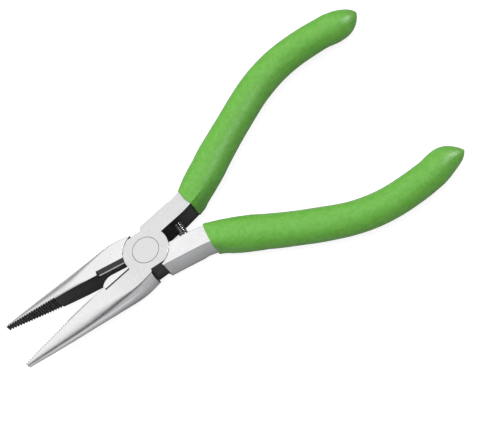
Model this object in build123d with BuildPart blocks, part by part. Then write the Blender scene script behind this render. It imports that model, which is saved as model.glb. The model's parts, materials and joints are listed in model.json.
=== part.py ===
from build123d import *
from math import cos, pi, sin
import os

# Needle nose pliers, about 5 inches long, with a coil return spring and dipped grips.
# Row frame: origin on the pivot axis in the plane of the joint's back face, +X from the
# pivot towards the handles, jaws towards -X, +Z out of the joint's front face.
#
# Each half is drawn closed, in its own frame: pivot axis on Z, parting plane at Z = 0,
# gripping plane at Y = 0, its handle on the +Y side, its jaw on the -Y side and its joint
# disc in the layer above the parting plane. The rear half is the same blank turned over.

# ---- Joint (mm, degrees) ----
joint_thickness = 7.2
layer = joint_thickness / 2
lap_gap = 0.02               # running gap, each side of the parting plane
disc_radius = 6.25
recess_radius = 6.37         # pocket that the other half's disc turns in
flat_distance = 5.55         # pivot to each side flat of the disc
flat_tilt = -10              # side flats against the gripping plane
shoulder_length = 1.35       # from the side flat out to the handle's or jaw's outer side
shoulder_start = 1.10        # along the side flat, from the foot of its normal
shoulder_angle = 55          # against the gripping plane
shoulder_cut_reach = 4.0     # how far the cut that forms the jaw's shoulder runs outwards,
shoulder_cut_x = 2.0         # and where it ends, past the buried root of the jaw
shoulder_cut_drop = 0.5      # it stays this far off the disc at that end
rest_opening = 16.5          # between the halves at rest

# ---- Rivet ----
shank_radius = 2.3
head_radius = 3.65
countersink_angle = 90
rim_chamfer = 0.12           # fine groove round each ground head
fixed_gap = 0.01             # radial, in the front half
running_gap = 0.04           # radial, where the rear half turns on the rivet

# ---- Jaws ----
jaw_length = 42.0            # pivot to tip
face_gap = 0.03              # gripping face to gripping plane, closed
jaw_root_x = -1.5            # first section, buried in the joint
jaw_widest_x = -9.0
jaw_taper_x = -19.0          # full thickness up to here
jaw_root_reach = 6.4         # reach: gripping plane to the outer side
jaw_widest_reach = 7.0
jaw_tip_reach = 0.95
jaw_tip_layer = 1.1          # half thickness at the tip
taper_power = 1.4            # above 1 the thinning starts gently
reach_power = 1.22           # above 1 the outer side bulges
root_rounding = 0.6          # depth of the rounded outer side at the root
rounding_growth = 0.0102     # its growth with the square of the distance from the root
least_flat = 0.3             # straight side left at the tip
jaw_root_sections = 6
jaw_nose_sections = 8

tooth_pitch = 0.75
tooth_depth = 0.42
tooth_count = 20
first_tooth = 0.7            # of a pitch, from the tip

# ---- Side cutters ----
cutter_root_x = -6.3
cutter_end_x = -14.2
bevel = 1.15                 # 45 degrees, from the front face to the cutting edge
bevel_overrun = 1.0          # its cut runs on this far past the gripping plane
edge_land = 0.15             # flat left along the cutting edge
relief_end_x = -15.5         # at the back face
relief_depth = 2.2           # at the back face, running out at the cutting edge
relief_run = 3.4             # length of the rounded end
relief_top = 4.0             # clear of the gripping plane

# ---- Handles ----
neck_outer_y = 6.3
neck_inner_y = 1.15
neck_end_x = 12.5
neck_shoulder_run = 0.4      # from the shoulder's outer end to the neck's full width
neck_overlap = 1.0           # neck buried in the disc
handle_bends = ((28.2, 8.77), (41.0, 13.98), (51.1, 17.32), (61.3, 18.27), (70.3, 17.0))
handle_end = (82.95, 14.95)
handle_end_slope = -0.05
section_spacing = 3.5        # between the sections that the handles are lofted through
tang_stations = (0, 4, 14, 66)                   # along the handle's centre line
tang_widths = (5.15, 5.05, 4.8, 4.0)             # in the plane of the handles
tang_thicknesses = (7.2, 7.2, 5.0, 4.0)
tang_corners = (0.06, 0.06, 1.7, 1.6)

# ---- Return spring ----
spring_x = 10.3              # pivot to the spring's axis, closed
coil_radius = 1.06           # to the middle of the wire
wire_radius = 0.17
coil_count = 15
points_per_coil = 8
seat_radius = 1.35
seat_depth = 2.2
seat_gap = 0.05              # wire to the bottom of its seat

# ---- Grips ----
grip_stations = (3.6, 15, 30, 67.4)              # mouth, swell, waist, start of the nose
grip_widths = (7.2, 9.15, 8.65, 8.0)
grip_thicknesses = (8.3, 8.8, 8.4, 7.8)
grip_corners = (2.4, 4.25, 4.1, 3.8)
nose_radius = 0.8            # of the drip nub at the closed end
nose_power = 0.7             # below 1 the nose is an ogive
nose_sections = 5
nose_roundness = 0.96        # corner radius over half width
grip_gap = 0.03              # keeps the sleeve clear of the tang

front_frame = Plane.XY.offset(layer).rotated((0, 0, rest_opening / 2))
rear_frame = Plane.XY.offset(layer).rotated((180, 0, rest_opening / 2))


# ---- Shared geometry, in a half's own frame ----


def evenly(start, end, count):
    """Evenly spaced values from start to end, both included."""
    return [start + (end - start) * step / (count - 1) for step in range(count)]


def jaw_section(x):
    """A jaw's cross-section at x: flat gripping face and sides, elliptical outer side."""
    along = max(0, (jaw_widest_x - x) / (jaw_widest_x + jaw_length))
    reach = jaw_widest_reach - (jaw_widest_reach - jaw_tip_reach) * along**reach_power
    if x > jaw_widest_x:
        rise = (x - jaw_widest_x) / (jaw_root_x - jaw_widest_x)
        reach = jaw_widest_reach - (jaw_widest_reach - jaw_root_reach) * rise**2
    taper = max(0, (jaw_taper_x - x) / (jaw_taper_x + jaw_length))
    side = layer - (layer - jaw_tip_layer) * taper**taper_power
    wanted = root_rounding + rounding_growth * (x - jaw_root_x) ** 2
    room = reach - least_flat
    rounding = (wanted**-4 + room**-4) ** -0.25
    with BuildSketch(Plane(origin=(x, 0, 0), x_dir=(0, 0, 1), z_dir=(1, 0, 0))) as section:
        with BuildLine():
            Polyline((side, reach - rounding), (side, face_gap), (-side, face_gap), (-side, reach - rounding))
            EllipticalCenterArc((0, reach - rounding), side, rounding, start_angle=0, arc_size=180)
        make_face()
    return section.sketch


def handle_plane(distance):
    """Plane across the handle's centre line, at a distance along it from the neck."""
    point = centre_line.position_at(distance, PositionMode.LENGTH)
    direction = centre_line.tangent_at(distance, PositionMode.LENGTH)
    return Plane(origin=point, x_dir=(0, 0, 1), z_dir=direction)


def handle_section(distance, width, thickness, corner):
    """A rounded section across the handle, at a distance along its centre line."""
    with BuildSketch(handle_plane(distance)) as section:
        RectangleRounded(thickness, width, corner)
    return section.sketch


def eased(distance, stations, values):
    """A value at a distance, easing from each station's value to the next."""
    for start, end, low, high in zip(stations, stations[1:], values, values[1:]):
        if distance <= end:
            step = (distance - start) / (end - start)
            return low + (high - low) * step**2 * (3 - 2 * step)
    return values[-1]


def bar_sections(stations, widths, thicknesses, corners, wall=0):
    """Evenly spaced sections of a bar along the handle, grown by a wall on every side."""
    count = 1 + round((stations[-1] - stations[0]) / section_spacing)
    sections = []
    for distance in evenly(stations[0], stations[-1], count):
        width = eased(distance, stations, widths) + 2 * wall
        thickness = eased(distance, stations, thicknesses) + 2 * wall
        corner = eased(distance, stations, corners) + wall
        sections.append(handle_section(distance, width, thickness, corner))
    return sections


def tang_sections(wall):
    """The sections of the tang, grown by a wall on every side."""
    return bar_sections(tang_stations, tang_widths, tang_thicknesses, tang_corners, wall)


def relief_section(z, depth, end_x):
    """The outline of the hollow behind the cutting edge, at one height."""
    arc_start = (end_x + relief_run, -depth)
    arc_end = (end_x, relief_depth - depth)
    with BuildSketch(Plane.XY.offset(z)) as section:
        with BuildLine():
            Polyline(
                arc_end,
                (end_x, relief_top),
                (cutter_root_x, relief_top),
                (cutter_root_x, -depth),
                arc_start,
            )
            TangentArc(arc_start, arc_end, tangent=(-1, 0))
        make_face()
    return section.sketch


def shoulder_points(side):
    """Inner and outer ends of a shoulder: side is 1 at the handle and -1 at the jaw."""
    along = Vector(1, 0).rotate(Axis.Z, flat_tilt)
    across = Vector(0, 1).rotate(Axis.Z, flat_tilt)
    inner = across * flat_distance + along * shoulder_start
    outer = inner + Vector(shoulder_length, 0).rotate(Axis.Z, shoulder_angle)
    return inner * side, outer * side


with BuildLine() as centre_builder:
    Spline(
        (neck_end_x, (neck_outer_y + neck_inner_y) / 2),
        *handle_bends,
        handle_end,
        tangents=((1, 0), (1, handle_end_slope)),
    )
centre_line = centre_builder.edge()


def half_blank(bevel_side, rivet_gap):
    """One forging in its own frame. bevel_side is 1 where the cutter's bevel faces up."""
    with BuildPart() as blank:
        # jaw: straight-sided root, then the tapering nose
        loft([jaw_section(x) for x in evenly(jaw_root_x, jaw_taper_x, jaw_root_sections)])
        loft([jaw_section(x) for x in evenly(jaw_taper_x, -jaw_length, jaw_nose_sections)])

        # the jaw ends at its shoulder
        inner, outer = shoulder_points(-1)
        beyond = inner + (outer - inner).normalized() * shoulder_cut_reach
        with BuildSketch(Plane.XY.offset(-joint_thickness)):
            with BuildLine():
                Polyline(
                    inner,
                    beyond,
                    (shoulder_cut_x, beyond.Y),
                    (shoulder_cut_x, inner.Y - shoulder_cut_drop),
                    close=True,
                )
            make_face()
        extrude(amount=2 * joint_thickness, mode=Mode.SUBTRACT)

        # neck of the handle, from its shoulder back
        inner, outer = shoulder_points(1)
        with BuildSketch(Plane.XY.offset(-layer)):
            with BuildLine():
                Polyline(
                    inner,
                    outer,
                    (outer.X + neck_shoulder_run, neck_outer_y),
                    (neck_end_x, neck_outer_y),
                    (neck_end_x, neck_inner_y),
                    (disc_radius - neck_overlap, neck_inner_y),
                    inner,
                )
            make_face()
        extrude(amount=joint_thickness)
        loft(tang_sections(wall=0))

        # pocket for the other half's disc, and this half's own disc
        with BuildSketch(Plane.XY.offset(-layer)):
            Circle(recess_radius)
        extrude(amount=layer + lap_gap, mode=Mode.SUBTRACT)
        with BuildSketch(Plane.XY.offset(lap_gap)):
            Circle(disc_radius)
            Rectangle(4 * disc_radius, 2 * flat_distance, rotation=flat_tilt, mode=Mode.INTERSECT)
        extrude(amount=layer - lap_gap)
        with Locations((0, 0, layer)):
            CounterSinkHole(
                shank_radius + rivet_gap,
                head_radius + rivet_gap,
                counter_sink_angle=countersink_angle,
            )

        # blind seat for the return spring
        with BuildSketch(Plane(origin=(spring_x, neck_inner_y, 0), z_dir=(0, 1, 0))):
            Circle(seat_radius)
        extrude(amount=seat_depth, mode=Mode.SUBTRACT)

        # cutter: bevel on one side, hollow relief behind the edge
        edge_z = bevel_side * (layer - bevel)
        with BuildSketch(Plane(origin=(cutter_end_x, 0, 0), x_dir=(0, 1, 0), z_dir=(1, 0, 0))):
            with BuildLine():
                Polyline(
                    (-bevel, bevel_side * layer),
                    (0, edge_z),
                    (bevel_overrun, edge_z),
                    (bevel_overrun, bevel_side * joint_thickness),
                    (-bevel, bevel_side * joint_thickness),
                    close=True,
                )
            make_face()
        extrude(amount=cutter_root_x - cutter_end_x, mode=Mode.SUBTRACT)

        relief_back = relief_section(-bevel_side * layer, relief_depth, relief_end_x)
        relief_edge = relief_section(edge_z - bevel_side * edge_land, 0, cutter_end_x)
        loft([relief_back, relief_edge], ruled=True, mode=Mode.SUBTRACT)

        # teeth: V grooves across the gripping face, from the tip back
        with BuildSketch(Plane.XY.offset(-layer)):
            for tooth in range(tooth_count):
                x = (tooth + first_tooth) * tooth_pitch - jaw_length
                with BuildLine():
                    Polyline(
                        (x - tooth_pitch / 2, 0),
                        (x + tooth_pitch / 2, 0),
                        (x, -face_gap - tooth_depth),
                        close=True,
                    )
                make_face()
        extrude(amount=joint_thickness, mode=Mode.SUBTRACT)
    return blank.part


def grip_sleeve():
    """One dipped sleeve in a half's own frame, closed over the end of the tang."""
    sections = bar_sections(grip_stations, grip_widths, grip_thicknesses, grip_corners)
    nose_start = grip_stations[-1]
    nose_length = centre_line.length - nose_start
    nose_base = grip_widths[-1] / 2
    for step in range(1, nose_sections + 1):
        left = 1 - step / nose_sections
        radius = nose_radius + (nose_base - nose_radius) * left**nose_power
        distance = nose_start + nose_length * (1 - left)
        corner = nose_roundness * radius
        sections.append(handle_section(distance, 2 * radius, 2 * radius, corner))
    with BuildPart() as sleeve:
        loft(sections)
        loft(tang_sections(wall=grip_gap), mode=Mode.SUBTRACT)
    return sleeve.part


# ---- front_half: lower jaw, front disc, upper handle ----
with BuildPart() as front_half:
    with Locations(front_frame):
        add(half_blank(bevel_side=1, rivet_gap=fixed_gap))
front_half.part.label = "front_half"

# ---- rear_half: the same blank turned over, its bevel ground on the other side ----
with BuildPart() as rear_half:
    with Locations(rear_frame):
        add(half_blank(bevel_side=-1, rivet_gap=running_gap))
rear_half.part.label = "rear_half"

# ---- pivot_rivet: shank with a countersunk head at each end, ground flush ----
head_depth = head_radius - shank_radius
with BuildPart() as pivot_rivet:
    with BuildSketch(Plane.XZ):
        with BuildLine():
            Polyline(
                (0, 0),
                (head_radius - rim_chamfer, 0),
                (head_radius - rim_chamfer, rim_chamfer),
                (shank_radius, head_depth),
                (shank_radius, joint_thickness - head_depth),
                (head_radius - rim_chamfer, joint_thickness - rim_chamfer),
                (head_radius - rim_chamfer, joint_thickness),
                (0, joint_thickness),
                close=True,
            )
        make_face()
    revolve(axis=Axis.Z)
pivot_rivet.part.label = "pivot_rivet"

# ---- return_spring: coil whose axis bends from one seat round to the other ----
seat_bottom = (spring_x, neck_inner_y + seat_depth - seat_gap - wire_radius, 0)
seat_mouth = (spring_x, neck_inner_y, 0)
with BuildLine() as spring_axis:
    front_straight = Line(
        front_frame.from_local_coords(seat_bottom), front_frame.from_local_coords(seat_mouth)
    )
    TangentArc(
        front_straight @ 1, rear_frame.from_local_coords(seat_mouth), tangent=front_straight % 1
    )
    Line(rear_frame.from_local_coords(seat_mouth), rear_frame.from_local_coords(seat_bottom))
axis_wire = spring_axis.wire()
point_count = coil_count * points_per_coil
wire_points = []
for step in range(point_count + 1):
    turn = 2 * pi * step / points_per_coil
    along = step / point_count
    direction = axis_wire.tangent_at(along)
    outward = direction.cross(Vector(0, 0, 1))
    centre = axis_wire.position_at(along)
    wire_points.append(centre + outward * coil_radius * cos(turn) + Vector(0, 0, coil_radius * sin(turn)))
with BuildPart() as return_spring:
    with BuildLine() as coil:
        Spline(*wire_points)
    with BuildSketch(Plane(origin=coil.line @ 0, z_dir=coil.line % 0)):
        Circle(wire_radius)
    sweep(path=coil.line, is_frenet=True)
return_spring.part.label = "return_spring"

# ---- Grips ----
with BuildPart() as front_grip:
    with Locations(front_frame):
        add(grip_sleeve())
front_grip.part.label = "front_grip"

with BuildPart() as rear_grip:
    with Locations(rear_frame):
        add(grip_sleeve())
rear_grip.part.label = "rear_grip"

os.makedirs("parts", exist_ok=True)
for piece in (front_half, rear_half, pivot_rivet, return_spring, front_grip, rear_grip):
    export_step(piece.part, f"parts/{piece.part.label}.step")
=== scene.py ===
import json
import math

import bmesh
import bpy
import numpy as np
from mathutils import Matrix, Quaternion, Vector, noise
from mathutils.bvhtree import BVHTree

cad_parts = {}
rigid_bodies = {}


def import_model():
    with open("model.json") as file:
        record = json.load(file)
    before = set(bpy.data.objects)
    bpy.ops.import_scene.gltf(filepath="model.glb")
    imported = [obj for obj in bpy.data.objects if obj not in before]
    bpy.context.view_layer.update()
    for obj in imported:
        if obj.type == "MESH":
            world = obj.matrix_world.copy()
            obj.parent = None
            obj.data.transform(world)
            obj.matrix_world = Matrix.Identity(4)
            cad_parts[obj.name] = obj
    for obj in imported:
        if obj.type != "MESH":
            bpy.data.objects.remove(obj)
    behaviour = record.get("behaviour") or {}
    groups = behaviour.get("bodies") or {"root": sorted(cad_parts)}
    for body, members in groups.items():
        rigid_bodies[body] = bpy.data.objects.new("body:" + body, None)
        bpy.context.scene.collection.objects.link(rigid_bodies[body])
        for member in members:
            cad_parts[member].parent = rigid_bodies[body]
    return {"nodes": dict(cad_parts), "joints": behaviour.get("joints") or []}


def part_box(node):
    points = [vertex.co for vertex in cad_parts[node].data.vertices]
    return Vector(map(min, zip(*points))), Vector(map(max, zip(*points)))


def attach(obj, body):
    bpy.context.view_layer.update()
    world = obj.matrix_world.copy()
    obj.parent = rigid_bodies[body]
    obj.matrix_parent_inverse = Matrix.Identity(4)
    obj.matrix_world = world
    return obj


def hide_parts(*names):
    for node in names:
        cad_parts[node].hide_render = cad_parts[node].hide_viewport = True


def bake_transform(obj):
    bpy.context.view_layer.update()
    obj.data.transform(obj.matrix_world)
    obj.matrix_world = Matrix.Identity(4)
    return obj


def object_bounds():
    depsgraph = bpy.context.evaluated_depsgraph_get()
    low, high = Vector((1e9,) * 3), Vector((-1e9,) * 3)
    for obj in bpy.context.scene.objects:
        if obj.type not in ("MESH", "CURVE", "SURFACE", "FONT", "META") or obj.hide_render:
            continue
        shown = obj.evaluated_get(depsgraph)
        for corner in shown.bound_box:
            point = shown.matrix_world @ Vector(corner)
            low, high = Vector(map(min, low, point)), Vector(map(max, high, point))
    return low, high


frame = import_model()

# Needle nose pliers: the two steel halves and the rivet are the CAD nodes with new materials.
# The grips and the return spring are new meshes, measured off the CAD nodes that they replace.
# Lengths are in metres, and MM turns millimetres into metres. The limits and texture scales of
# the pliers' materials are in millimetres.

MM = 0.001

bpy.context.view_layer.update()
cad_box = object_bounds()
nodes = frame["nodes"]
pivot_joint = frame["joints"][0]
front_body = pivot_joint["parent"]
rear_body = pivot_joint["child"]

# Closing takes the joint from rest to its upper limit, and each half turns by half of that.
half_opening = math.radians(pivot_joint["range_deg"][1]) / 2
joint_low, joint_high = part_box("pivot_rivet")
parting_height = (joint_low.z + joint_high.z) / 2
joint_half_height = (joint_high.z - joint_low.z) / 2


# ---- Directions of a half: side is 1 for the front half and -1 for the rear half ----


def along_half(side):
    """Unit vector along a half, from the jaws to the handle."""
    return Vector((math.cos(half_opening), side * math.sin(half_opening), 0))


def across_half(side):
    """Unit vector square to the gripping plane, towards the half's own handle."""
    return Vector((-math.sin(half_opening), side * math.cos(half_opening), 0))


# ---- Shader nodes ----


class Shader:
    """The node tree of a material or a world, written as expressions on sockets."""

    def __init__(self, owner):
        self.owner = owner
        owner.use_nodes = True
        self.tree = owner.node_tree
        self.tree.nodes.clear()

    def node(self, kind, inputs=None, output=0, **settings):
        """Adds a node and returns an output; inputs maps sockets to values or other outputs."""
        made = self.tree.nodes.new(kind)
        for key, value in settings.items():
            setattr(made, key, value)
        for key, value in (inputs or {}).items():
            if isinstance(value, bpy.types.NodeSocket):
                self.tree.links.new(value, made.inputs[key])
            else:
                made.inputs[key].default_value = value
        return made.outputs[output] if made.outputs else None

    def math(self, operation, a, b=0.0):
        return self.node("ShaderNodeMath", {0: a, 1: b}, operation=operation)

    def size(self, value):
        return self.math("ABSOLUTE", value)

    def reach(self, a, b):
        """Length of the sides a and b of a right angle, taken together."""
        squares = self.math("ADD", self.math("MULTIPLY", a, a), self.math("MULTIPLY", b, b))
        return self.math("SQRT", squares)

    def vector_math(self, operation, a, b=(0, 0, 0), output=0):
        return self.node("ShaderNodeVectorMath", {0: a, 1: b}, output=output, operation=operation)

    def dot(self, vector, direction):
        return self.vector_math("DOT_PRODUCT", vector, direction, output="Value")

    def flat_length(self, vector):
        """Length of a vector seen from above."""
        flat = self.vector_math("MULTIPLY", vector, (1, 1, 0))
        return self.vector_math("LENGTH", flat, output="Value")

    def part(self, vector, axis):
        """One of the X, Y and Z parts of a vector."""
        return self.node("ShaderNodeSeparateXYZ", {0: vector}, output=axis)

    def step(self, value, low, high):
        """0 below low, 1 above high and smooth between; low above high turns it round."""
        turned = low > high
        inputs = {
            "Value": value,
            "From Min": min(low, high),
            "From Max": max(low, high),
            "To Min": float(turned),
            "To Max": float(not turned),
        }
        return self.node("ShaderNodeMapRange", inputs, interpolation_type="SMOOTHSTEP")

    def step_linear(self, value, low, high):
        """0 at low and 1 at high, in a straight line between."""
        inputs = {"Value": value, "From Min": low, "From Max": high, "To Min": 0.0, "To Max": 1.0}
        return self.node("ShaderNodeMapRange", inputs, interpolation_type="LINEAR", clamp=True)

    def band(self, value, low, high, soft):
        """1 between low and high, and 0 outside them."""
        return self.both(
            self.step(value, low - soft, low + soft),
            self.step(value, high + soft, high - soft),
        )

    def both(self, *masks):
        """A mask that is on where all of the masks are."""
        result = masks[0]
        for mask in masks[1:]:
            result = self.math("MULTIPLY", result, mask)
        return result

    def either(self, *masks):
        """A mask that is on where any of the masks is."""
        result = masks[0]
        for mask in masks[1:]:
            result = self.math("MAXIMUM", result, mask)
        return result

    def inverse(self, mask):
        return self.math("SUBTRACT", 1.0, mask)

    def partly(self, share, mask):
        """A mask or a height made weaker."""
        return self.math("MULTIPLY", mask, share)

    def mix(self, factor, a, b):
        """Mixes two colours, or two numbers, by a factor."""
        if isinstance(a, (int, float)) or isinstance(b, (int, float)):
            return self.node("ShaderNodeMix", {0: factor, 2: a, 3: b}, data_type="FLOAT")
        return self.node("ShaderNodeMix", {0: factor, 6: a, 7: b}, output=2, data_type="RGBA")

    def tint(self, colour, factor):
        """A colour made lighter or darker by a factor."""
        inputs = {0: 1.0, 6: colour, 7: (factor, factor, factor, 1)}
        return self.node("ShaderNodeMix", inputs, output=2, data_type="RGBA", blend_type="MULTIPLY")

    def noise(self, vector, scale, detail=2.0, roughness=0.5):
        inputs = {"Vector": vector, "Scale": scale, "Detail": detail, "Roughness": roughness}
        return self.node("ShaderNodeTexNoise", inputs)

    def object_place(self):
        return self.node("ShaderNodeTexCoord", output="Object")

    def millimetres(self):
        """Place on the piece in millimetres."""
        return self.vector_math("MULTIPLY", self.object_place(), (1 / MM, 1 / MM, 1 / MM))

    def rounded_normal(self, radius, samples):
        """The normal of the surface with its edges rounded off."""
        return self.node("ShaderNodeBevel", {"Radius": radius}, samples=samples)

    def bump(self, height, strength, distance, normal=None):
        inputs = {"Height": height, "Strength": strength, "Distance": distance}
        if normal is not None:
            inputs["Normal"] = normal
        return self.node("ShaderNodeBump", inputs)

    def light_path(self, ray):
        return self.node("ShaderNodeLightPath", output=ray)

    def finish(self, **inputs):
        """Ends the tree with a Principled surface; underscores in names stand for spaces."""
        named = {key.replace("_", " "): value for key, value in inputs.items()}
        surface = self.node("ShaderNodeBsdfPrincipled", named)
        self.node("ShaderNodeOutputMaterial", {"Surface": surface})
        return self.owner


def new_material(name):
    return Shader(bpy.data.materials.new(name))


def grey(value):
    """A grey that is very slightly blue."""
    return (value, value, value * 1.012, 1)


# ---- Steel of the two halves ----

joint_tone = {1: 0.74, -1: 0.86}     # of the ground faces round the joint, by side
jaw_tone = {1: 0.84, -1: 0.86}       # of the ground faces of the jaws
side_tones = (0.50, 0.70)            # of the brushed sides, between the lines and on them
painted_streak_tone = 0.95                   # of the sides: a jaw's painted highlight streak and painted underside shade, and painted edge shade
underside_shade_tone = 0.30
side_edge_shade_tone = 0.25
oxide_tone = 0.012
bevel_tone = 0.055                   # of the cutting bevels
groove_tone = 0.64                   # of the groove round the rivet

# A tint multiplies a tone, and a pair of tints is for the dark and light parts of a noise.
sand_tints = (0.91, 1.06)
coarse_tints = (0.95, 1.03)
coarse_noise = (0.30, 0.70)
cloud_tint = 0.92
cloud_noise = (0.35, 0.7)
edge_line_shade_tint = 0.60             # painted shade: a darker line by the edge of the gripping face
oxide_tints = (0.6, 1.9)
middle_tint = 1.8            # of the oxide in the middle of a face
rivet_changes = (-0.06, 0.03)    # of the joint's tone

# A share weakens a mask or a part of the grain.
cloud_share = 0.5
# Shares of the painted highlight streak, the painted underside shade and the painted edge shade.
painted_streak_share = 0.75
underside_shade_share = 0.80
side_edge_shade_share = 0.70
wear_share = 0.35
line_share = 0.5
oxide_grain_share = 1.3
ring_share = 0.3
line_stretch = (0.12, 2.2)   # of the brushed lines' pattern, along the half and across it

ground_roughness = (0.33, 0.42)
side_roughness = (0.22, 0.30)
oxide_roughness = (0.38, 0.5)
rivet_roughness = (0.34, 0.44)
oxide_metallic = 0.35
groove_metallic = 0.3
grain_strength = 0.12
grain_depth = 0.02
edge_wear = 0.22             # the radius that the wear along the edges is found with
rivet_edge_wear = 0.06
rivet_groove_depths = (0.02, 0.06)   # below the joint's faces

jaw_root = -6.0              # u where the jaws start to thin
jaw_reach = 42.0             # from the pivot to the tips
jaw_tip_height = 1.1         # half the thickness of a jaw at its tip
thinning = 1.4               # above 1 the thinning starts gently

# Limits of the masks: u is along the half, v across it, w up from the parting plane and radius
# from the pivot, all in millimetres. Facing is a part of the normal. A pair gives where a mask
# starts and where it is full, and for a band its two ends.
upright_facing = (0.86, 0.76)
flat_facing = (0.8, 0.9)
side_facing = (0.75, 0.45)
jaw_face_u = (-5.5, -6.0)
jaw_face_v = (-2.9, -2.6)
jaw_face_facing = (0.12, 0.25)
relief_u = (-15.4, -6.0)
relief_v = (-2.5, 0.5)
relief_soft = 0.1
handle_face_u = (4.0, 4.5)
handle_face_facing = (-0.45, -0.6)
joint_wall_radius = (6.6, 6.5)
shoulder_radius = (7.5, 7.3)
shoulder_facing = (0.45, 0.55)
lap_w = (0.6, 0.4)
groove_radius = (3.9, 3.8)
groove_w = (3.57, 3.55)
cutter_u = (-13.85, -6.2)
cutter_soft = 0.05
land_w = (2.24, 2.66)        # the land is ground along the cutting edge
land_v = (-0.55, -0.4)
land_facing = (0.5, 0.7)
bevel_w = (2.2, 2.4)
bevel_facing = (0.6, 0.8)
land_soft = 0.04
jaw_tone_u = (-4.0, -16.0)
# Where the painted shade line runs by the edge of the gripping face:
edge_line_shade_u = (-17.0, -20.0)
edge_line_shade_v = (-0.48, -0.40)

# On a jaw's side, level is the height as a part of half the jaw's thickness there.
# Where the painted highlight streak runs along a jaw's side:
painted_streak_level = (0.24, 0.40)
painted_streak_soft = 0.10
painted_streak_root_u = (-6.0, -12.0)
painted_streak_tip_u = (-40.0, -32.0)
# Where the painted shade lies on a jaw's underside:
underside_shade_level = (0.25, -0.70)
underside_shade_u = (-4.0, -10.0)
# Where the painted shade lies along the top and bottom edges of a side:
lower_edge_shade_level = (-0.72, -0.98)
upper_edge_shade_level = (0.90, 0.99)
middle_level = (0.95, 0.35)

# How far the rounded normal turns at a worn edge, and which part of a noise is worn.
wear_turn = (0.02, 0.16)
wear_noise = (0.42, 0.62)


class HalfPoint:
    """A shaded point of a half: its place in the half's directions, and the way that it faces."""

    def __init__(self, s, side):
        facing = s.node("ShaderNodeTexCoord", output="Normal")
        self.place = s.millimetres()
        self.u = s.dot(self.place, along_half(side))
        self.v = s.dot(self.place, across_half(side))
        self.w = s.math("SUBTRACT", s.part(self.place, "Z"), parting_height / MM)
        self.radius = s.reach(self.u, self.v)
        self.facing_u = s.dot(facing, along_half(side))
        self.facing_v = s.dot(facing, across_half(side))
        self.facing_w = s.size(s.part(facing, "Z"))
        taper = s.math("POWER", s.step_linear(self.u, jaw_root, -jaw_reach), thinning)
        half_height = s.mix(taper, joint_half_height / MM, jaw_tip_height)
        self.level = s.math("DIVIDE", self.w, half_height)


def oxide_mask(s, at):
    """Where a half was not ground: gripping and inner faces, and round the joint."""
    upright = s.step(at.facing_w, *upright_facing)
    off_parting = s.size(at.w)
    jaw_face = s.both(
        upright,
        s.step(at.u, *jaw_face_u),
        s.step(at.facing_v, *jaw_face_facing),
        s.step(at.v, *jaw_face_v),
    )
    relief_end = s.both(
        upright, s.band(at.u, *relief_u, relief_soft), s.band(at.v, *relief_v, relief_soft)
    )
    handle_face = s.both(s.step(at.u, *handle_face_u), s.step(at.facing_v, *handle_face_facing))
    joint_wall = s.both(upright, s.step(at.radius, *joint_wall_radius))
    shoulder = s.both(
        upright,
        s.step(at.radius, *shoulder_radius),
        s.step(s.size(at.facing_u), *shoulder_facing),
    )
    lap = s.both(s.step(off_parting, *lap_w), s.step(at.facing_w, *flat_facing))
    groove = s.both(s.step(at.radius, *groove_radius), s.step(off_parting, *groove_w))
    land = s.both(
        s.band(at.u, *cutter_u, cutter_soft),
        s.band(at.w, *land_w, land_soft),
        s.step(at.v, *land_v),
        s.step(at.facing_v, *land_facing),
    )
    oxide = s.either(jaw_face, relief_end, handle_face, joint_wall, shoulder, lap, groove)
    return s.both(oxide, s.inverse(land))


def worn_edges(s, at, rounded):
    """Patches along the edges, found from the rounded normal's turn against the plain one."""
    plain = s.node("ShaderNodeNewGeometry", output="Normal")
    turn = s.inverse(s.dot(rounded, plain))
    patches = s.noise(at.place, scale=1.1, detail=3.0)
    return s.both(s.step(turn, *wear_turn), s.step(patches, *wear_noise))


def ground_colour(s, at, side, sand):
    """The ground faces: sandy and slightly cloudy, with a painted shade line by the gripping edge."""
    plain = s.mix(s.step(at.u, *jaw_tone_u), grey(joint_tone[side]), grey(jaw_tone[side]))
    coarse = s.step(s.noise(at.place, scale=1.5, detail=2.0, roughness=0.6), *coarse_noise)
    cloud = s.step(s.noise(at.place, scale=0.16, detail=2.0), *cloud_noise)
    # painted shade: a darker line along the edge of the gripping face
    edge_line_shade = s.both(
        s.step(at.facing_w, *flat_facing), s.step(at.u, *edge_line_shade_u), s.step(at.v, *edge_line_shade_v)
    )
    colour = s.mix(sand, *(s.tint(plain, tint) for tint in sand_tints))
    colour = s.mix(coarse, *(s.tint(colour, tint) for tint in coarse_tints))
    colour = s.mix(s.partly(cloud_share, cloud), colour, s.tint(plain, cloud_tint))
    return s.mix(edge_line_shade, colour, s.tint(plain, edge_line_shade_tint))


def side_colour(s, at, lines):
    """The brushed sides: on a jaw, a painted highlight streak over painted shade below and at the
    edges.
    """
    # painted highlight: a bright streak along the middle of a jaw's side
    streak = s.both(
        s.band(at.level, *painted_streak_level, painted_streak_soft),
        s.step(at.u, *painted_streak_root_u),
        s.step(at.u, *painted_streak_tip_u),
    )
    # painted shade on the lower part of a jaw's side
    underside = s.both(s.step(at.level, *underside_shade_level), s.step(at.u, *underside_shade_u))
    # painted shade along the top and bottom edges of the sides
    rim = s.either(s.step(at.level, *lower_edge_shade_level), s.step(at.level, *upper_edge_shade_level))
    colour = s.mix(lines, *(grey(tone) for tone in side_tones))
    colour = s.mix(s.partly(underside_shade_share, underside), colour, grey(underside_shade_tone))
    colour = s.mix(s.partly(painted_streak_share, streak), colour, grey(painted_streak_tone))
    return s.mix(s.partly(side_edge_shade_share, rim), colour, grey(side_edge_shade_tone))


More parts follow.
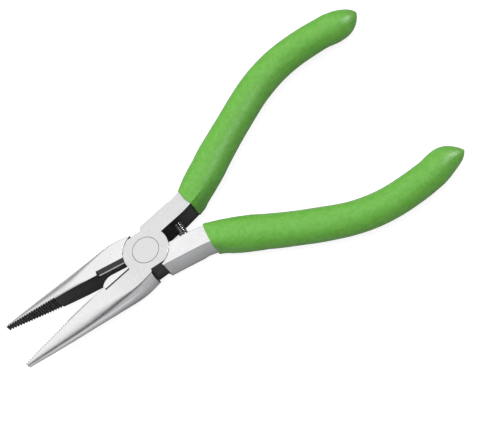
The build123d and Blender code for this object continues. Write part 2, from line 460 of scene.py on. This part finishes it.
def oxide_colour(s, at):
    """Mottled black oxide, lighter in the middle of a face and on the cutting bevel."""
    mottle = s.noise(at.place, scale=3.0, detail=4.0, roughness=0.7)
    middle = s.step(s.size(at.level), *middle_level)
    bevel = s.both(
        s.band(at.u, *cutter_u, cutter_soft),
        s.band(at.facing_w, *bevel_facing, land_soft),
        s.step(at.w, *bevel_w),
    )
    colour = s.mix(mottle, *(grey(oxide_tone * tint) for tint in oxide_tints))
    colour = s.mix(middle, colour, s.tint(colour, middle_tint))
    return s.mix(bevel, colour, grey(bevel_tone))


def steel_material(side):
    """Sandy ground faces, brushed sides, and black oxide where the half was not ground."""
    s = new_material("ground_steel_front" if side > 0 else "ground_steel_rear")
    at = HalfPoint(s, side)
    rounded = s.rounded_normal(edge_wear * MM, samples=6)
    oxide = oxide_mask(s, at)
    edges = worn_edges(s, at, rounded)
    sides = s.both(s.step(at.facing_w, *side_facing), s.inverse(oxide))

    # grain: sandy, and in lines drawn out along the half
    sand = s.noise(at.place, scale=5.5, detail=4.0, roughness=0.65)
    stretched = [s.math("MULTIPLY", part, by) for part, by in zip((at.u, at.v), line_stretch)]
    drawn_out = s.node("ShaderNodeCombineXYZ", {0: stretched[0], 1: stretched[1], 2: at.w})
    lines = s.noise(drawn_out, scale=3.0, detail=3.0, roughness=0.6)

    bare = s.mix(sides, ground_colour(s, at, side, sand), side_colour(s, at, lines))
    black = s.both(oxide, s.inverse(s.partly(wear_share, edges)))
    roughness = s.mix(sides, s.mix(sand, *ground_roughness), s.mix(sand, *side_roughness))
    bare_grain = s.math("ADD", s.partly(line_share, lines), sand)
    grain = s.mix(oxide, bare_grain, s.partly(oxide_grain_share, sand))
    return s.finish(
        Base_Color=s.mix(black, bare, oxide_colour(s, at)),
        Roughness=s.mix(oxide, roughness, s.mix(sand, *oxide_roughness)),
        Metallic=s.mix(oxide, 1.0, oxide_metallic),
        Normal=s.bump(grain, grain_strength, grain_depth * MM, rounded),
    )


# ---- Rivet ----


def rivet_material():
    """Ground flush with the joint: sandy, with faint turning marks round the axis."""
    s = new_material("rivet_steel")
    place = s.millimetres()
    off_parting = s.size(s.math("SUBTRACT", s.part(place, "Z"), parting_height / MM))
    groove = s.step(off_parting, *(joint_half_height / MM - d for d in rivet_groove_depths))
    sand = s.noise(place, scale=6.0, detail=4.0, roughness=0.65)
    round_axis = s.node("ShaderNodeCombineXYZ", {0: s.flat_length(place)})
    rings = s.noise(round_axis, scale=9.0, detail=2.0)
    bare = s.mix(sand, *(grey(joint_tone[1] + change) for change in rivet_changes))
    grain = s.math("ADD", sand, s.partly(ring_share, rings))
    rounded = s.rounded_normal(rivet_edge_wear * MM, samples=4)
    return s.finish(
        Base_Color=s.mix(groove, bare, grey(groove_tone)),
        Roughness=s.mix(sand, *rivet_roughness),
        Metallic=s.mix(groove, 1.0, groove_metallic),
        Normal=s.bump(grain, grain_strength, grain_depth * MM, rounded),
    )


# ---- Spring ----

coil_turns = 15
points_per_turn = 28
wire_sides = 12
wire_radius = 0.165 * MM
seat_depth = 0.3 * MM                   # each end of the CAD spring runs on into its seat by this
# Painted highlights: bright dashes on the coil's crests, at these angles, widths and depths.
coil_highlight_turns = (0.55, 1.15, 1.75, 2.35)    # angles round the coil, from its outer side upwards
coil_highlight_half_angle = 0.14
coil_highlight_soft = 0.05
coil_highlight_depths = (0.04, 0.12)               # outwards from the wire's middle, in millimetres
coil_highlight_noise = (0.38, 0.46)
coil_highlight_tone = 0.66
wire_tones = (0.010, 0.040)
film_noise = (0.35, 0.7)
wire_roughness = (0.22, 0.34)


def spring_arc():
    """The coil's radius, and the centre, radius and half angle of the arc that it is bent to."""
    low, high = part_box("return_spring")
    coil_radius = (high.z - low.z) / 2 - wire_radius
    half_length = high.y - seat_depth
    middle_x = high.x - coil_radius - wire_radius
    end_x = low.x + coil_radius + wire_radius
    rise = middle_x - end_x
    bend_radius = (half_length**2 + rise**2) / (2 * rise)
    bend = math.asin(half_length / bend_radius)
    centre = Vector((middle_x - bend_radius, 0, parting_height))
    return coil_radius, centre, bend_radius, bend


def spring_material():
    """Black oxide wire, slightly oiled, with painted highlights on its crests here and there."""
    s = new_material("spring_steel")
    place = s.millimetres()
    coil_radius, centre, bend_radius, _ = spring_arc()
    from_centre = s.vector_math("SUBTRACT", place, tuple(centre / MM))
    height = s.part(from_centre, "Z")
    outward = s.math("SUBTRACT", s.flat_length(from_centre), bend_radius / MM)
    turn = s.math("ARCTAN2", height, outward)
    # painted highlights: bright dashes on the crests at set angles round the coil
    crest = s.step(s.reach(height, outward), *(coil_radius / MM + depth for depth in coil_highlight_depths))
    dashes = s.either(
        *(s.band(turn, at - coil_highlight_half_angle, at + coil_highlight_half_angle, coil_highlight_soft) for at in coil_highlight_turns)
    )
    patches = s.step(s.noise(place, scale=1.3, detail=1.0), *coil_highlight_noise)
    coil_highlights = s.both(crest, dashes, patches)
    film = s.noise(place, scale=2.5, detail=3.0)
    black = s.mix(s.step(film, *film_noise), *(grey(tone) for tone in wire_tones))
    return s.finish(
        Base_Color=s.mix(coil_highlights, black, grey(coil_highlight_tone)),
        Roughness=s.mix(film, *wire_roughness),
        Metallic=s.mix(coil_highlights, 0.6, 1.0),
        Normal=s.bump(s.noise(place, scale=9.0, detail=3.0), 0.15, 0.01 * MM),
        Coat_Weight=0.5,
        Coat_Roughness=0.12,
    )


# ---- Grip vinyl ----

vinyl_dark = (0.104, 0.375, 0.030, 1)
vinyl_light = (0.168, 0.470, 0.072, 1)
vinyl_grazing_shade = (0.030, 0.115, 0.008, 1)     # painted shade where the vinyl is seen edge on
edge_on_facing = (0.68, 0.97)
blotch_noise = (0.30, 0.70)
blotch_shares = (0.45, 0.55)             # of the mottle and the speckle
speckle_height = 0.45                    # against the orange peel's
vinyl_roughness = (0.36, 0.50)


def vinyl_material():
    """Dipped vinyl: semi-matte lime green with orange peel, faint mottling and painted shade edge on.
    """
    s = new_material("grip_vinyl")
    place = s.millimetres()
    mottle = s.noise(place, scale=0.75, detail=4.0, roughness=0.6)
    speckle = s.noise(place, scale=2.6, detail=3.0, roughness=0.65)
    peel = s.noise(place, scale=1.9, detail=2.0, roughness=0.5)
    shares = (s.partly(share, part) for share, part in zip(blotch_shares, (mottle, speckle)))
    blotch = s.math("ADD", *shares)
    face = s.mix(s.step(blotch, *blotch_noise), vinyl_dark, vinyl_light)
    # painted shade: darker where the vinyl is seen edge on
    facing = s.node("ShaderNodeLayerWeight", {"Blend": 0.5}, output="Facing")
    height = s.math("ADD", peel, s.partly(speckle_height, speckle))
    return s.finish(
        Base_Color=s.mix(s.step(facing, *edge_on_facing), face, vinyl_grazing_shade),
        Roughness=s.mix(speckle, *vinyl_roughness),
        Normal=s.bump(height, 0.60, 0.12 * MM),
        Specular_IOR_Level=0.36,
        Subsurface_Weight=0.06,
        Subsurface_Radius=(0.5, 1.0, 0.3),
        Subsurface_Scale=0.6 * MM,
    )


# ---- Meshes ----


def mesh_piece(name, vertices, faces, material):
    """A smooth mesh object from vertices and faces, with its faces turned outwards."""
    mesh = bpy.data.meshes.new(name)
    mesh.from_pydata([tuple(v) for v in vertices], [], faces)
    work = bmesh.new()
    work.from_mesh(mesh)
    bmesh.ops.recalc_face_normals(work, faces=work.faces)
    work.to_mesh(mesh)
    work.free()
    mesh.shade_smooth()
    mesh.materials.append(material)
    piece = bpy.data.objects.new(name, mesh)
    bpy.context.scene.collection.objects.link(piece)
    return piece


def ring_faces(ring_count, ring_size):
    """Quads between neighbouring rings of vertices."""
    faces = []
    for ring in range(ring_count - 1):
        for k in range(ring_size):
            a = ring * ring_size + k
            b = ring * ring_size + (k + 1) % ring_size
            faces.append((a, b, b + ring_size, a + ring_size))
    return faces


def tree_of(node):
    """A ray-casting tree of a CAD node's mesh, in the row frame."""
    mesh = nodes[node].data
    vertices = [v.co for v in mesh.vertices]
    polygons = [tuple(p.vertices) for p in mesh.polygons]
    return BVHTree.FromPolygons(vertices, polygons)


# ---- Grips: rings measured off the CAD sleeve, with a rolled lip and a drip nub at the nose ----

ring_spacing = 0.30 * MM
ring_size = 96
far = 30 * MM                # longer than any radius of a grip
cap_depth = 3 * MM           # the flat end of a sleeve is looked for within this of its far point
cap_facing = 0.9
spine_points = 60
spine_rounds = 6             # of centring the spine, and then of smoothing it
heading_step = 1.0 * MM
lip_radius = 0.28 * MM
lip_rings = 5
inner_start = 0.05 * MM
inner_step = 5               # inner rings are this many spacings apart
thinnest_wall = 0.14 * MM    # of the CAD sleeve; where it is thinner its hole has ended
thinnest_skin = 0.30 * MM    # of the fitted sleeve
mouth_clear = 0.45 * MM      # nearer the mouth, a ring square to the spine runs past the CAD sleeve
hole_end = 6.0 * MM          # the hole stops this far before the end of the CAD sleeve
nose_rings = 30
nose_crowding = 1.6          # above 1 the rings are closer together towards the tip
nose_shapes = {
    # side: (start before the end of the CAD sleeve, reach beyond that end, shoulder, nub)
    1: (6.0 * MM, 0.80 * MM, 1.8, 0.68),
    -1: (9.5 * MM, -0.20 * MM, 2.5, 0.78),
}
nose_leans = {
    # side: shifts along Y, each of which grows between two distances from the tip
    1: ((12.5 * MM, 2.8 * MM, -0.88 * MM),),
    -1: ((10.7 * MM, 4.6 * MM, 0.68 * MM), (4.1 * MM, 0.5 * MM, -0.47 * MM)),
}
dip_extras = {1: 0.12 * MM, -1: 0.05 * MM}   # the dipped skin stands this far off the CAD sleeve
mouth_slants = {
    # side: (how far the inner side of the mouth runs on, how far its outer side is drawn back)
    1: (0.30 * MM, 1.40 * MM),
    -1: (1.10 * MM, 1.15 * MM),
}
slant_length = 7 * MM
skin_fits = {
    # side: (distance from the mouth, change on the inner side, change on the outer side), in mm
    1: (
        (0, -0.46, -0.35),
        (1.5, -0.62, 0.12),
        (3, -0.74, 0.38),
        (5, -0.82, 0.54),
        (8, -0.66, 0.44),
        (11, -0.42, 0.14),
        (20, -0.28, -0.03),
        (34, -0.15, 0.0),
        (39, 0.0, 0.0),
    ),
    -1: (
        (0, 0.0, 0.05),
        (2, -0.20, 0.22),
        (5, -0.34, 0.55),
        (8, -0.24, 0.46),
        (11, -0.08, 0.15),
        (15, -0.10, -0.14),
        (20, -0.12, 0.02),
        (27, -0.15, 0.24),
        (37, -0.24, 0.06),
        (52, 0.0, 0.0),
    ),
}
swell_height = 0.035 * MM    # slow unevenness of the dipped skin
swell_scale = 5 * MM
peel_height = 0.016 * MM     # orange peel
peel_scale = 1.0 * MM


def cap_centre(node, direction):
    """Centre of the flat end of a grip that faces along direction."""
    mesh = nodes[node].data
    furthest = max(v.co.dot(direction) for v in mesh.vertices)
    total = Vector()
    area = 0
    for polygon in mesh.polygons:
        near = polygon.center.dot(direction) > furthest - cap_depth
        if near and polygon.normal.dot(direction) > cap_facing:
            total += polygon.center * polygon.area
            area += polygon.area
    return total / area


def sideways_of(tangent):
    """Level direction square to a tangent, to its left."""
    return Vector((-tangent.y, tangent.x, 0))


def clamp(value, low, high):
    return min(max(value, low), high)


class Spine:
    """The middle line of a grip, from the mouth at 0 to the end of the CAD sleeve."""

    def __init__(self, node, side):
        tree = tree_of(node)
        first = cap_centre(node, -along_half(side))
        last = cap_centre(node, along_half(side))
        points = [first.lerp(last, k / (spine_points - 1)) for k in range(spine_points)]
        for _ in range(spine_rounds):
            centred = [first]
            for before, point, after in zip(points, points[1:], points[2:]):
                across = sideways_of((after - before).normalized())
                plus = tree.ray_cast(point + across * far, -across)[0]
                minus = tree.ray_cast(point - across * far, across)[0]
                centred.append((plus + minus) / 2 if plus and minus else point)
            points = centred + [last]
        table = np.array([tuple(p) for p in points])
        for _ in range(spine_rounds):
            table[1:-1] = (table[:-2] + 2 * table[1:-1] + table[2:]) / 4
        steps = np.linalg.norm(np.diff(table, axis=0), axis=1)
        self.table = table
        self.travelled = np.concatenate([[0], np.cumsum(steps)])
        self.length = self.travelled[-1]

    def point(self, distance):
        """The point at a distance that lies on the spine."""
        return Vector([np.interp(distance, self.travelled, column) for column in self.table.T])

    def heading(self, distance):
        low = max(distance - heading_step, 0)
        high = min(distance + heading_step, self.length)
        return (self.point(high) - self.point(low)).normalized()

    def place(self, distance):
        """The point at any distance; the spine runs on straight past its ends."""
        inside = clamp(distance, 0, self.length)
        return self.point(inside) + self.heading(inside) * (distance - inside)


def ring_directions(tangent):
    """Directions all the way round a tangent, from its left side over the top."""
    across = sideways_of(tangent)
    turns = [2 * math.pi * k / ring_size for k in range(ring_size)]
    return [across * math.cos(turn) + Vector((0, 0, math.sin(turn))) for turn in turns]


def gap(centre, hit):
    """Distance from a spine point to where a ray hit the sleeve; 0 if it missed."""
    return (hit - centre).length if hit else 0


def skin(point):
    """Height of the uneven skin at a point."""
    swell = noise.noise(point / swell_scale)
    peel = noise.noise(point / peel_scale)
    return swell * swell_height + peel * peel_height


class Grip:
    """A dipped sleeve, built ring by ring from the closed end of its hole out to its nose."""

    def __init__(self, node, side):
        self.side = side
        self.tree = tree_of(node)
        self.spine = Spine(node, side)
        self.nose_start, self.further, self.shoulder, self.nub = nose_shapes[side]
        self.base_at = self.spine.length - self.nose_start
        self.rings = []

    def centre(self, distance):
        """The middle of the sleeve, which leans sideways towards the tip."""
        centre = self.spine.place(distance)
        from_tip = self.spine.length + self.further - distance
        for first, last, shift in nose_leans[self.side]:
            share = clamp((first - from_tip) / (first - last), 0, 1)
            centre.y += shift * share * share * (3 - 2 * share)
        return centre

    def inward_parts(self, tangent):
        """For each direction round a ring, how far it points to the inner side of the handle."""
        inner_side = -self.side * sideways_of(tangent)
        return [direction.dot(inner_side) for direction in ring_directions(tangent)]

    def add_ring(self, distance, radii, rough=1.0):
        """Adds a ring, slanting it near the mouth and roughening it by the skin."""
        runs_on, drawn_back = mouth_slants[self.side]
        tangent = self.spine.heading(clamp(distance, 0, self.spine.length))
        centre = self.centre(distance)
        fade = max(0, 1 - distance / slant_length) ** 2
        directions = ring_directions(tangent)
        ring = []
        for direction, radius, inward in zip(directions, radii, self.inward_parts(tangent)):
            point = centre + direction * radius
            slant = max(0, inward) * runs_on - max(0, -inward) * drawn_back
            point -= tangent * slant * fade
            ring.append(point + direction * skin(point) * rough)
        self.rings.append(ring)

    def hole_radii(self, distance):
        """Distances from the spine to the inside of the CAD sleeve, all the way round."""
        distance = max(distance, mouth_clear)
        centre = self.spine.place(distance)
        directions = ring_directions(self.spine.heading(distance))
        return [gap(centre, self.tree.ray_cast(centre, direction)[0]) for direction in directions]

    def skin_radii(self, distance):
        """Distances from the spine to the outside, fitted to the dipped skin's outline."""
        distance = max(distance, mouth_clear)
        centre = self.spine.place(distance)
        tangent = self.spine.heading(distance)
        places, inner_changes, outer_changes = zip(*skin_fits[self.side])
        inner_change = np.interp(distance / MM, places, inner_changes) * MM
        outer_change = np.interp(distance / MM, places, outer_changes) * MM
        radii = []
        for direction, inward in zip(ring_directions(tangent), self.inward_parts(tangent)):
            hit = self.tree.ray_cast(centre + direction * far, -direction)[0]
            change = max(0, inward) * inner_change + max(0, -inward) * outer_change
            radii.append(gap(centre, hit) + change + dip_extras[self.side])
        return radii

    def covered(self, radii, hole):
        """Outer radii that leave the thinnest skin over a hole."""
        return [max(radius, h + thinnest_skin) for radius, h in zip(radii, hole)]

    def add_hole(self):
        """Adds the inner rings, the deepest first; returns its depth and its radii at the mouth."""
        found = []
        distance = inner_start
        while distance < self.spine.length - hole_end:
            hole = self.hole_radii(distance)
            walls = [outer - h for outer, h in zip(self.skin_radii(distance), hole)]
            if max(walls) < thinnest_wall or min(hole) <= 0:
                break
            found.append((distance, hole))
            distance += inner_step * ring_spacing
        for distance, hole in reversed(found):
            self.add_ring(distance, hole, rough=0)
        return found[-1][0], found[0][1]

    def add_lip(self, hole):
        """Adds a rolled edge round the mouth."""
        edge = self.covered(self.skin_radii(0), hole)
        for step in range(lip_rings + 1):
            turn = math.pi / 2 * step / lip_rings
            drawn_in = lip_radius * (1 - math.sin(turn))
            back = lip_radius * (1 - math.cos(turn))
            radii = [max(e - drawn_in, h) for e, h in zip(edge, hole)]
            self.add_ring(back, radii, rough=step / lip_rings)

    def add_outside(self, hole_depth):
        length = self.base_at - lip_radius
        count = int(length / ring_spacing)
        for step in range(1, count + 1):
            distance = lip_radius + length * step / count
            radii = self.skin_radii(distance)
            if distance < hole_depth:
                radii = self.covered(radii, self.hole_radii(distance))
            self.add_ring(distance, radii)

    def add_nose(self):
        """Adds rings that draw in to a nub; returns the tip."""
        base = self.skin_radii(self.base_at)
        length = self.nose_start + self.further
        for step in range(1, nose_rings):
            share = 1 - (1 - step / nose_rings) ** nose_crowding
            size = (1 - share**self.shoulder) ** self.nub
            self.add_ring(self.base_at + share * length, [b * size for b in base])
        return self.centre(self.base_at + length)

    def build(self):
        """The vertices and faces of the closed sleeve."""
        hole_depth, hole_at_mouth = self.add_hole()
        self.add_lip(hole_at_mouth)
        self.add_outside(hole_depth)
        tip = self.add_nose()
        vertices = [point for ring in self.rings for point in ring]
        vertices += [self.spine.place(hole_depth), tip]
        faces = ring_faces(len(self.rings), ring_size)
        last = (len(self.rings) - 1) * ring_size
        inner_pole = last + ring_size
        outer_pole = inner_pole + 1
        for k in range(ring_size):
            following = (k + 1) % ring_size
            faces.append((inner_pole, following, k))
            faces.append((outer_pole, last + k, last + following))
        return vertices, faces


def add_grip(name, node, side, body, material):
    piece = mesh_piece(name, *Grip(node, side).build(), material)
    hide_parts(node)
    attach(piece, body)


# ---- Return spring: a coil bent round from one seat to the other ----


def add_spring(material):
    coil_radius, centre, bend_radius, bend = spring_arc()
    count = coil_turns * points_per_turn

    def outward(share):
        """Direction from the arc's centre to a place on it, from one seat at -1 to the other at 1."""
        return Vector((math.cos(bend * share), -math.sin(bend * share), 0))

    shares = [2 * step / count - 1 for step in range(count + 1)]
    path = []
    for step, share in enumerate(shares):
        turn = 2 * math.pi * step / points_per_turn
        offset = outward(share) * coil_radius * math.cos(turn)
        offset.z += coil_radius * math.sin(turn)
        path.append(centre + outward(share) * bend_radius + offset)
    vertices = []
    for index, (point, share) in enumerate(zip(path, shares)):
        before = path[max(0, index - 1)]
        after = path[min(count, index + 1)]
        tangent = (after - before).normalized()
        hub = centre + outward(share) * bend_radius
        radial = (point - hub).normalized()
        radial = (radial - tangent * radial.dot(tangent)).normalized()
        side = tangent.cross(radial)
        for k in range(wire_sides):
            turn = 2 * math.pi * k / wire_sides
            vertices.append(point + (radial * math.cos(turn) + side * math.sin(turn)) * wire_radius)
    faces = ring_faces(len(path), wire_sides)
    last = (len(path) - 1) * wire_sides
    faces.append(tuple(range(wire_sides)))
    faces.append(tuple(last + k for k in reversed(range(wire_sides))))
    piece = mesh_piece("return_spring_coil", vertices, faces, material)
    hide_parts("return_spring")
    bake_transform(piece)


# ---- Build ----

for node, material in (
    ("front_half", steel_material(1)),
    ("rear_half", steel_material(-1)),
    ("pivot_rivet", rivet_material()),
):
    nodes[node].material_slots[0].material = material

vinyl = vinyl_material()
add_grip("front_grip_sleeve", "front_grip", 1, front_body, vinyl)
add_grip("rear_grip_sleeve", "rear_grip", -1, rear_body, vinyl)
add_spring(spring_material())

# ---- Stage ----

floor_size = 6.0
floor_drop = 0.05 * MM       # below the CAD grips; the modelled ones dip in by up to 0.1 mm
floor_tone = 0.30            # of the floor as the camera sees it, with a glow that makes it pale
floor_glow = 0.84
bounce_tone = 0.22           # of the floor as it lights the pliers
pool_tones = (0.08, 0.62)    # of the floor in reflections, outside the pool of light and inside it
pool_margin = 12 * MM        # the pool reaches this far out from the pliers' box
pool_fade = 45 * MM          # and dims over this further distance

ceiling_strengths = (0.10, 1.34)     # of the sky, at the horizon and overhead
ceiling_rise = (0.10, 0.66)
lean_strengths = (0.72, 1.0)         # of the sky, away from the key light and towards it
lean_rise = (0.0, 0.9)

camera_target = Vector((24.54, -6.96, 3.6)) * MM
camera_azimuth = math.radians(1.75)
camera_elevation = math.radians(59.79)
camera_roll = math.radians(-36.13)
camera_distance = 350.4 * MM
camera_lens = 102.36


def floor_material():
    """Plain and pale to the camera; reflections see it grey, in a pool of light."""
    s = new_material("floor_paint")
    place = s.object_place()
    outside = []
    for axis, name in enumerate("XY"):
        middle = (cad_box[0][axis] + cad_box[1][axis]) / 2
        half_width = (cad_box[1][axis] - cad_box[0][axis]) / 2 + pool_margin
        away = s.size(s.math("SUBTRACT", s.part(place, name), middle))
        outside.append(s.math("MAXIMUM", s.math("SUBTRACT", away, half_width), 0.0))
    from_pool = s.math("MAXIMUM", *outside)
    pool = s.mix(s.step(from_pool, pool_fade, 0.0), *(grey(tone) for tone in pool_tones))
    tone = s.mix(s.light_path("Is Diffuse Ray"), pool, grey(bounce_tone))
    seen = s.light_path("Is Camera Ray")
    return s.finish(
        Base_Color=s.mix(seen, tone, grey(floor_tone)),
        Roughness=0.9,
        Emission_Color=(1, 1, 1, 1),
        Emission_Strength=s.mix(seen, 0.0, floor_glow),
    )


def add_floor():
    height = cad_box[0].z - floor_drop
    half = floor_size / 2
    corners = [(x * half, y * half, height) for x, y in ((-1, -1), (1, -1), (1, 1), (-1, 1))]
    mesh_piece("floor", corners, [(0, 1, 2, 3)], floor_material())


def add_sky(towards_key):
    """Soft studio light: a bright ceiling that is brighter towards the key, above a dim horizon."""
    world = bpy.data.worlds.new("studio")
    s = Shader(world)
    place = s.node("ShaderNodeTexCoord", output="Generated")
    ceiling = s.mix(s.step(s.part(place, "Z"), *ceiling_rise), *ceiling_strengths)
    lean = s.mix(s.step(s.dot(place, towards_key), *lean_rise), *lean_strengths)
    strength = s.mix(s.light_path("Is Camera Ray"), s.math("MULTIPLY", ceiling, lean), 1.0)
    background = s.node("ShaderNodeBackground", {"Strength": strength})
    s.node("ShaderNodeOutputWorld", {"Surface": background})
    bpy.context.scene.world = world


def add_object(name, data, position, rotation):
    made = bpy.data.objects.new(name, data)
    made.location = position
    made.rotation_mode = "QUATERNION"
    made.rotation_quaternion = rotation
    bpy.context.scene.collection.objects.link(made)
    return made


def add_light(name, direction, distance, size, power):
    """A square soft light that faces the camera's target."""
    data = bpy.data.lights.new(name, "AREA")
    data.shape = "SQUARE"
    data.size = size
    data.energy = power
    position = camera_target + direction * distance
    return add_object(name, data, position, (-direction).to_track_quat("-Z", "Y"))


def add_camera():
    data = bpy.data.cameras.new("camera")
    data.lens = camera_lens
    data.sensor_width = 36
    data.clip_start = 0.01
    data.clip_end = 50
    back = Vector(
        (
            math.sin(camera_azimuth) * math.cos(camera_elevation),
            -math.cos(camera_azimuth) * math.cos(camera_elevation),
            math.sin(camera_elevation),
        )
    )
    rotation = (-back).to_track_quat("-Z", "Y") @ Quaternion((0, 0, 1), camera_roll)
    camera = add_object("camera", data, camera_target + back * camera_distance, rotation)
    bpy.context.scene.camera = camera
    return camera


def add_lights(camera):
    """A key from the upper left, a fill from the right, and a small light that only glints."""
    turned = camera.rotation_quaternion.to_matrix()
    right, up, back = (turned.col[k].copy() for k in range(3))
    key_direction = (up * 0.55 - right * 0.75 + back * 0.75).normalized()
    fill_direction = (right * 0.95 + back * 0.25 - up * 0.15).normalized()
    glint_direction = Vector((0.85, -0.12, 0.50)).normalized()
    add_sky(key_direction)
    add_light("key", key_direction, 0.8, size=0.7, power=3.0).visible_glossy = False
    add_light("glint", glint_direction, 0.5, size=0.14, power=2.7).visible_diffuse = False
    add_light("fill", fill_direction, 0.6, size=0.4, power=0.9).visible_glossy = False


add_floor()
add_lights(add_camera())
bpy.context.scene.view_settings.view_transform = "Standard"

bpy.context.view_layer.update()
